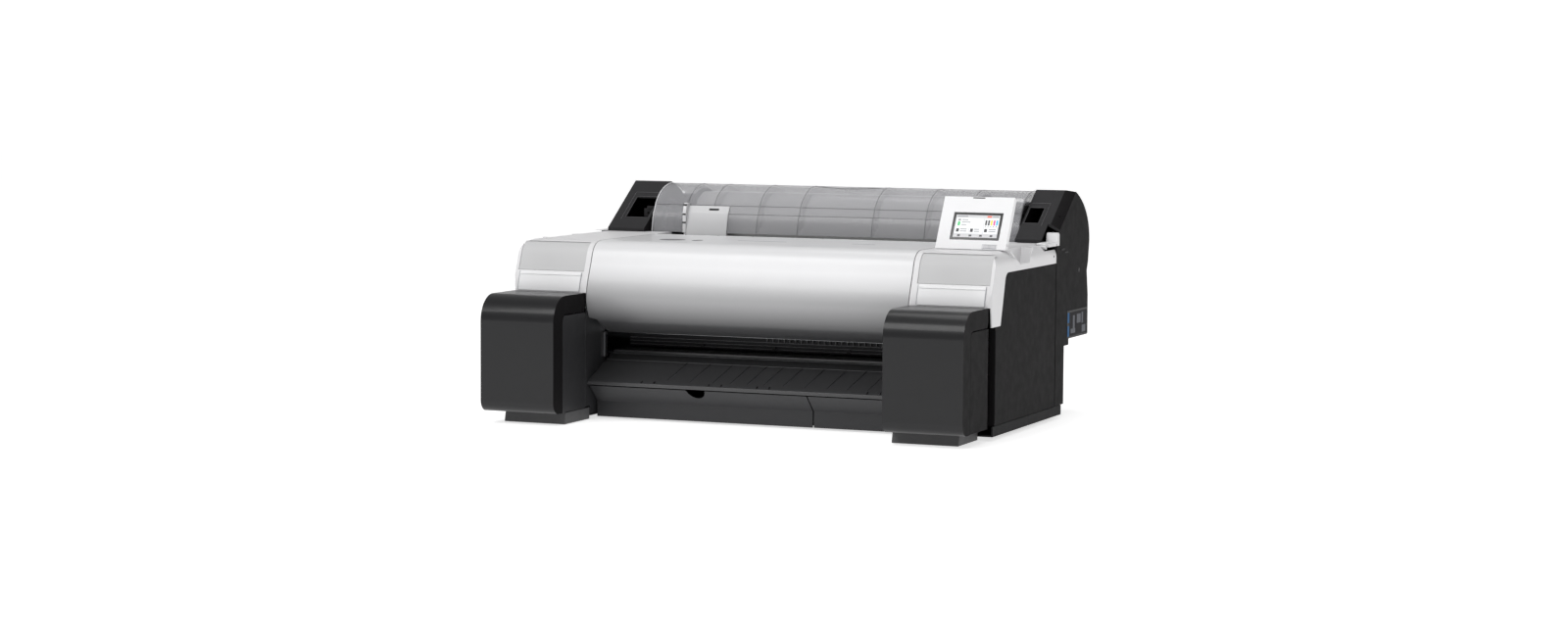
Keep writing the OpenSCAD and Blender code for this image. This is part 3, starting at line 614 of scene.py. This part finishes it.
def roll_cover_details():
    """Creases, end rims and the finger grip of the smoked cover; the left rim is a pale line of painted
    highlight.
    """
    body, slot = "roll_cover", "cover_smoke"

    def across(x, lift):
        """The cover's profile at one place along it, lifted a little."""
        return [at(x, y, z + lift) for y, z in ROLL_COVER]

    # Painted highlight along the cover's left rim.
    tube("roll_cover_rim_highlight", [across(-381.5, 0.2)], 0.9, body, slot, "cover_rim")
    tube("roll_cover_right_rim", [across(408.5, 0.2)], 0.6, body, slot, "crease")
    left, right, guide_side, crest = -380, 407, -300, 640
    creases = [[at(x, y, z) for x in (start, right)] for start, y, z in
               ((left, 565.8, 401.2), (guide_side, 556.2, 384.6),
                (left, crest, read_off(ROLL_COVER, crest) + 0.1))]
    tube("roll_cover_creases", creases, 0.45, body, slot, "crease")
    dots = [at(guide_side + 9 * i, 557.6, 385.4) for i in range(75)]
    discs("roll_cover_stipple", dots, 0.9, 0.8, (0, -1, 0.6), body, slot, "crease", width=0, sides=10)
    lens = []
    for i in range(41):
        t = i / 40
        y = crest - 17 * math.sin(math.pi * t)
        lens.append(at(-60 + 160 * t, y, read_off(ROLL_COVER, y) + 0.25))
    tube("roll_cover_grip", [lens], 0.7, body, slot, "crease")
    ribs = [across(x, 0.15) for x in (-309, -249, -149, -59, 101, 213, 303)]
    tube("roll_cover_lines", ribs, 0.5, body, slot, "crease")


def roof_details():
    """Recesses and small catches along the back of the white roof."""
    for name, x0, x1, y0, depth in (("long", -243, -188, 262, 46), ("short", -172, -152, 268, 34)):
        places = [x0 + (x1 - x0) * i / 12 for i in range(13)]
        bow = [math.sin(math.pi * i / 12) ** 0.5 for i in range(13)]
        outline = [(x, y0 + depth / 2 * (1 - b)) for x, b in zip(places, bow)]
        outline += [(x, y0 + depth / 2 * (1 + b)) for x, b in zip(places[-2:0:-1], bow[-2:0:-1])]
        prism(f"roof_{name}_recess", outline, ROOF_Z - 0.1, ROOF_Z + 0.2, "top_cover", "cover_white",
              "recess_grey", width=0.1, along="z")
    # The grey strips stand for the shade along a shallow panel's edges: painted shade.
    strips = [(x0, x1, 316, 320, ROOF_Z - 0.05, ROOF_Z + 0.12) for x0, x1 in ((-90, 12), (150, 196))]
    bars("roof_shallow_panel", strips, "top_cover", "cover_white", "lcd_grey", width=0.05)
    discs("roof_catches", [at(x, 452.4, ROOF_Z) for x in (-262, -190, -115, 35)], 2.0, 0.4, (0, 0, 1),
          "top_cover", "cover_white", "mark_black", width=0.1)
    rim = COVER_FACE + COVER_BROW[1:] + [(452, ROOF_Z)]
    edges = [[at(x, y, z - 0.3) for y, z in rim] for x in (-COVER_EDGE, COVER_EDGE)]
    tube("top_cover_edge_lines", edges, 0.6, "top_cover", "cover_white", "recess_grey")
    bars("roof_back_lip", [(-COVER_EDGE, COVER_EDGE, 452.8, 455, 344.2, 346.3)], "top_cover", "cover_white",
         width=0.5)


def output_guide_details():
    """Ribs, notches and edges of the dark guide below the paper exit, with painted shade along the ribs and
    in the notches, and painted highlights beside the ribs and along the edges.
    """
    foot, head = (162, 80.9), (229, 110)
    # Each rib is a near-black line, painted shade, with a lighter line beside it, painted highlight.
    ribs = [[at(x - 9, *foot), at(x + 4, *head)]
            for x in (-161, -112, -65, -29, 6, 40, 80, 125, 170, 211, 252, 293)]
    tube("guide_ribs", ribs, 0.7, "chassis", "guide_black", "mark_black")
    beside = Vector((0.0016, 0, 0.0002))
    tube("guide_rib_lights", [[p + beside for p in line] for line in ribs], 0.35, "chassis", "guide_black",
         "painted_edge_highlight")
    # The notches are near-black bars: painted shade inside them.
    notches = [(x - 0.6, x + 0.6, 148.2, 157, 75.6, 79.4) for x in (-219, -192, -78, -52, 22, 47, 246, 272)]
    bars("guide_notches", notches, "chassis", "guide_black", "mark_black", width=0.1)
    # Painted highlights along the guide's crease and the rail's edge.
    tube("guide_crease_highlight", [[at(x, 230.6, 110.6) for x in (-332, 332)]], 0.5, "chassis", "guide_black",
         "painted_edge_highlight")
    tube("guide_rail_edge_highlight", [[at(x, 257.2, 121.0) for x in (-331, 331)]], 0.9, "chassis", "guide_black",
         "painted_edge_highlight")


def exit_details():
    """Channels, bosses and teeth behind the paper exit, slots of the platen and strips on the walls; the
    channels and the wall strips carry painted highlights.
    """
    # The channel bars take the painted highlight grey.
    bars("exit_channels", [(-324, 324, 323.6, 325, z, z + 1.6) for z in (134, 140.5, 147)], "chassis",
         "guide_black", "painted_edge_highlight", width=0.4)
    discs("exit_bosses", [at(x, 323.2, 137) for x in (-167, -14, 142, 290)], 4.2, 3.4, (0, 1, 0), "chassis",
          "guide_black", "mark_black", width=0.5)
    teeth = [(x - 1, x + 1, 320.8, 325, 149, 157) for x in range(-28, 320, 12)]
    bars("exit_teeth", teeth, "chassis", "guide_black", width=0.4)
    slots = [(x - 9, x + 9, 270, 272.2, 127, 127.4) for x in range(-300, 320, 40)]
    slots += [(-325, 325, y, y + 1.2, 127, 127.5) for y in (266, 284, 298, 312)]
    bars("platen_ribs", slots, "chassis", "guide_black", width=0.15)
    # The wall strips are painted highlights on the inner walls.
    strips = [(s * 326.6 - 1.6, s * 326.6 + 1.6, 209.4, 211, 118, 166) for s in (-1, 1)]
    bars("wall_strips", strips, "chassis", "side_dark", "painted_edge_highlight", width=0.4)


def label_details():
    """The plain label on the right side: a frame, a dark field, a stripe and an abstract pattern."""
    bars("side_label_frame", [on_side(613, 748, 153, 208, 0, 0.5)], "chassis", "housing_dark", "mark_black",
         width=0.2)
    bars("side_label", [on_side(625, 744, 157, 204, 0.4, 0.8)], "chassis", "housing_dark", "label_dark",
         width=0.1)
    stripe = [on_side(615, 626, z0, z1, 0.4, 0.85) for z0, z1 in ((157, 178), (184, 204))]
    bars("side_label_stripe", stripe, "chassis", "housing_dark", "label_blue", width=0.1)
    corners = ((636, 666, 162, 171), (650, 662, 171, 197), (676, 702, 180, 198), (710, 734, 160, 174),
               (708, 718, 178, 200))
    bars("side_label_diagram", [on_side(*box, 0.7, 0.95) for box in corners], "chassis", "housing_dark",
         "label_grey", width=0.1)


def side_details():
    """Seams of both sides, with the catch, the tabs and the groove of the right one."""
    seams = [[at(s * (HALF_W + 0.05), 538, z) for z in (345, 28)] for s in (-1, 1)]
    tube("side_seams", seams, 0.5, "chassis", "housing_dark", "seam_dark")
    discs("side_catch", [at(HALF_W + 0.1, 688, 286)], 4.5, 0.6, (1, 0, 0), "chassis", "housing_dark",
          "mark_black")
    tabs = [on_side(568, 590, 330, 334, -0.5, 1), on_side(590, 614, 324, 327, -0.5, 0.8)]
    bars("side_tabs", tabs, "chassis", "housing_dark", width=0.5)
    bars("side_screws_recess", [on_side(170.5, 172, 30, 204, -0.5, 0.3)], "chassis", "side_dark",
         "seam_dark", width=0.1)


def window_details():
    """Painted highlights round and beside the roll holder windows, brackets of the windows, and the slot in
    the right housing's bevel.
    """
    for name, inner, outer, y0, y1 in (("left", -390, -441, 547, 605), ("right", 416, 446, 560, 601.5)):
        outline = [(inner, y0), (outer, y0), (outer, y1), (inner, y1)]
        # Painted highlight round each window's edge, and along a line beside it.
        tube(f"{name}_window_rim_highlight", [[on_slant(x, y) for x, y in outline]], 0.5, "chassis", "housing_dark",
             "painted_edge_highlight", closed=True)
        past = outer + math.copysign(8, outer)
        line = [(past, y0 - 6), (past, y1 + 12), (inner, y1 + 12)]
        tube(f"{name}_window_line_highlight", [[on_slant(x, y) for x, y in line]], 0.4, "chassis", "housing_dark",
             "painted_edge_highlight")
    bars("left_window_bracket", [(-412, -391, 575, 580, 374, 391), (-404, -391, 572, 578, 391, 396)],
         "chassis", "housing_dark", width=0.8)
    discs("left_window_bracket_slot", [at(-402, 574.6, 382)], 2.6, 0.8, (0, 1, 0), "chassis",
          "housing_dark", "seam_dark")
    bars("bevel_slot", [(HALF_W - 12, HALF_W - 8.5, 586, 590, 384, 397)], "chassis", "housing_dark",
         "seam_dark", width=0.4)


def shelf_details():
    """White cap on the low shelf beside the left roll housing."""
    bars("left_shelf_cap", [(0.4 - HALF_W, -467.4, 505, 640, 347, 347.8)], "chassis", "shell_white",
         width=0.3)


def rear_details():
    """Vents, screws, port surrounds and contacts on the back."""
    vents = [(x, x + 34, 624.6, 625.4, 145.2, 152) for x in range(-360, 340, 60)]
    vents += [(-120 + 14 * i, -114 + 14 * i, 594.6, 595.5, 88, 128) for i in range(14)]
    bars("rear_vents", vents, "chassis", "side_dark", "seam_dark", width=0.2)
    spots = [at(x, 595.4, z) for x in (-380, -190, 0, 120, 380) for z in (34, 136)]
    discs("rear_screws", spots, 3.6, 1.2, (0, 1, 0), "chassis", "side_dark", "pin_steel", width=0.5)
    bars("port_surround", [(165, 236, 595, 596, z, z + 3) for z in (54, 78)], "chassis", "side_dark",
         "inlet_black", width=0.4)
    bars("port_sockets", [(173, 183, 594, 594.6, 63, 72), (218, 230, 594, 594.6, 63, 71)], "chassis",
         "board_green", "pin_steel", width=0.2)
    bars("inlet_blades", [(x - 1, x + 1, 580, 592, 69, 75) for x in (-321, -315, -309)], "chassis",
         "inlet_black", "pin_steel", width=0.2)


def carriage_details():
    """Belt teeth and encoder strip beside the carriage, with its latch, ribs and contacts."""
    teeth = [(-440 + 5 * i, -437.6 + 5 * i, 351.5, 358.5, 271.6, 273.0) for i in range(180)]
    clear_of_carriage = [tooth for tooth in teeth if tooth[1] < 378 or tooth[0] > 424]
    bars("belt_teeth", clear_of_carriage, "chassis", "rubber_black", width=0.2)
    bars("encoder_strip", [(-470, 470, 341.6, 342.0, 214, 222)], "chassis", "steel", "cover_rim",
         width=0.05)
    bars("carriage_latch", [(366, 434, 240.5, 252, 300, 303.5), (388, 412, 238.5, 241.5, 286, 300)],
         "carriage", "carriage_black", "guide_white", width=0.8)
    bars("carriage_ribs", [(x, x + 2, 254, 338, 299.6, 302) for x in range(349, 452, 14)], "carriage",
         "carriage_black", width=0.4)
    bars("head_contacts", [(372 + 8 * i, 377 + 8 * i, 273.4, 274, 133, 138) for i in range(8)], "carriage",
         "head_grey", "gear_natural", width=0.1)


def paper_details():
    """Layers seen on the ends of the paper roll, and the paper's edge along it."""
    axle = (650, 360)
    layers = [[at(s * 305.2, *point) for point in arc(axle, r, 0, 354.375, 63)]
              for s in (-1, 1) for r in (32, 40, 48, 56, 63)]
    tube("paper_layers", layers, 0.15, "roll_spool", "paper_white", "lcd_grey", closed=True)
    edge_place = (axle[0] - 66.2 * math.cos(0.5), axle[1] - 66.2 * math.sin(0.5))
    tube("paper_loose_edge", [[at(x, *edge_place) for x in (-304, 304)]], 0.3, "roll_spool", "paper_white",
         "lcd_grey")


def width_guide_details():
    """White edge strip, marks and slot of the width guide; the slot is a near-black sheet of painted shade.
    """
    marks = [(-310.7, -303.3, 542.9, 543.5, z, z + 3.4) for z in (364, 381)]
    bars("width_guide_marks", marks, "width_guide", "guide_white", "mark_black", width=0.1)
    edge = [(543.2, 345.5), (543.2, 385.3), (547.8, 399.6), (550.8, 405), (565, 405),
            (565, 404), (551.2, 404), (548.7, 399), (544.2, 385), (544.2, 345.5)]
    prism("width_guide_edge", edge, -310.5, -303.5, "width_guide", "guide_white", "panel_white", width=0.3)
    top_mark = [(547.3, 400), (549.1, 403.3), (549.8, 402.9), (548, 399.6)]
    prism("width_guide_top_mark", top_mark, -310.7, -303.3, "width_guide", "guide_white", "mark_black",
          width=0)
    # Painted shade: the slot is a near-black sheet.
    slot = [(558.8, 391.5), (560.4, 394.8), (561.2, 394.4), (559.6, 391.1)]
    prism("width_guide_slot", slot, -257.9, -236.1, "width_guide", "guide_white", "mark_black", width=0)


def ink_cover_details():
    """Undercut grips below the ink covers, drawn as near-black strips: painted shadow inside the undercut.
    """
    for side in ("left", "right"):
        node = f"{side}_ink_cover"
        low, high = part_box(node)
        middle = (low.x + high.x) / 2 / MM
        bars(f"{node}_grip", [(middle - 34, middle + 34, 24, 38, 22.4, 24.2)], node, "ink_dark",
             "mark_black", width=0.5)


def end_details():
    """Ledges and seams of the lower end panels, round corners of the ends, and a small hole in the side; the
    ledges carry a painted highlight and the hole is painted shade.
    """
    def face_y(z):
        """Distance of the white face from the front at a height."""
        return read_off([(z0, y0) for y0, z0 in COVER_FACE], z)

    ledge = [(face_y(286.8) + 0.9, 286.8), (face_y(279.5) - 3.2, 279.5), (face_y(279.5) - 1.6, 279.2),
             (face_y(285) + 2, 285)]
    centre = (HALF_W - EDGE_R, ROOF_Z - EDGE_R)
    corner = arc(centre, EDGE_R - 0.6, 36, 62, 6) + arc(centre, EDGE_R - 3, 62, 36, 6)
    for s, name in ((-1, "left"), (1, "right")):
        # The ledge is a real chamfer; its lighter panel_white colour adds a painted highlight on top.
        prism(f"{name}_end_ledge", ledge, s * 413 - 66, s * 413 + 66, "chassis", "shell_white",
              "panel_white", width=0.5)
        seams = [[at(s * x, face_y(z) - 1.7, z) for z in range(249, 286, 4)] for x in (346.5, 479.5)]
        tube(f"{name}_end_seams", seams, 0.55, "chassis", "shell_white", "lcd_grey")
        prism(f"{name}_end_corner", [(s * x, z) for x, z in corner], 187, 200.4, "chassis", "shell_white",
              width=0, along="y")
    # The hole is a near-black disc: painted shade inside it.
    discs("end_hole", [at(HALF_W + 0.05, 522, 321)], 2.2, 0.6, (1, 0, 0), "chassis", "shell_white",
          "mark_black")


SLOTS = {part["node"]: part["material_slot"] for part in frame["record"]["subparts"]}
make_camera()
MATERIALS = make_materials()
make_studio()
dress_nodes()
screen_picture()
panel_details()
roll_cover_details()
roof_details()
output_guide_details()
exit_details()
label_details()
side_details()
window_details()
shelf_details()
rear_details()
carriage_details()
paper_details()
width_guide_details()
ink_cover_details()
end_details()
